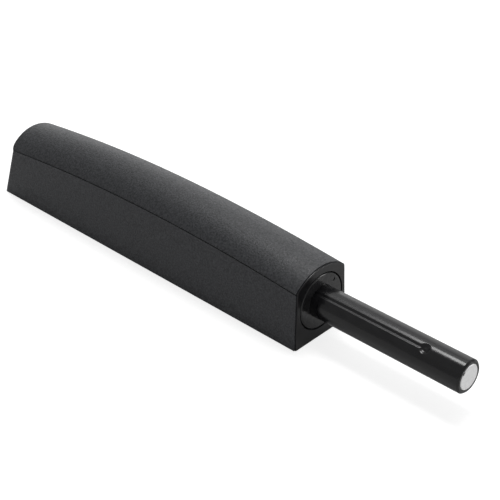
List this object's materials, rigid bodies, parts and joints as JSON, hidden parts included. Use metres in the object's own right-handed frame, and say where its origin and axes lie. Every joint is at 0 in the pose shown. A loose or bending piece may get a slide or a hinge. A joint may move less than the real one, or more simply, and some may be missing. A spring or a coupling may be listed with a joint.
{
  "type": "push to open catch",
  "caption": "Long narrow housing with an arched clip-on cover and a front push cartridge: magnet-tipped round plunger, heart-track latch and return spring, screw holes in the base.",
  "frame": {"origin": "on the mounting face of the base, at the front end of its sides (the polished front plate stands 0.3 mm ahead of it), midway across its width", "axes": "+Z out of the mounting face towards the arched cover, -Y the way the plunger points, +Y the way it is pushed and the length of the housing, +X across the width"},
  "size_m": [0.0176, 0.1479, 0.0216],
  "materials": {
    "base_plastic": "fine moulded grain, dark grey",
    "cover_plastic": "coarse moulded grain, dark grey",
    "cartridge_plastic": "satin, dark grey",
    "plunger_plastic": "smooth and glossy, near black",
    "slider_plastic": "natural low-friction plastic, off-white",
    "bumper_rubber": "matte black",
    "magnet_nickel": "nickel plated, soft sheen",
    "spring_steel": "drawn wire and strip, bright",
    "pin_steel": "ground"
  },
  "bodies": {
    "housing": {"housing_base": "base_plastic", "housing_cover": "cover_plastic", "retaining_clip": "spring_steel", "cartridge_tube": "cartridge_plastic", "front_collar": "cartridge_plastic", "bumper_ring": "bumper_rubber", "end_plug": "cartridge_plastic", "plug_pin": "pin_steel", "spring_guide": "pin_steel", "main_spring": "spring_steel", "follower_leaf": "spring_steel", "leaf_rivet": "pin_steel"},
    "plunger": {"plunger_rod": "plunger_plastic", "magnet": "magnet_nickel", "magnet_keeper": "pin_steel", "cam_slider": "slider_plastic", "slider_pin": "pin_steel"},
    "follower": {"latch_follower": "spring_steel"}
  },
  "joints": [
    {"name": "plunger_slide", "type": "slide", "parent": "housing", "child": "plunger", "axis": [0, 1, 0], "range_m": [0, 0.0385], "stiffness_N_per_m": 390, "springref_m": -0.01, "deforming": ["main_spring"]},
    {"name": "follower_swing", "type": "hinge", "parent": "housing", "child": "follower", "pos_m": [0, 0.01705, 0.014], "axis": [0, 0, -1], "range_deg": [0, 3.7]}
  ]
}
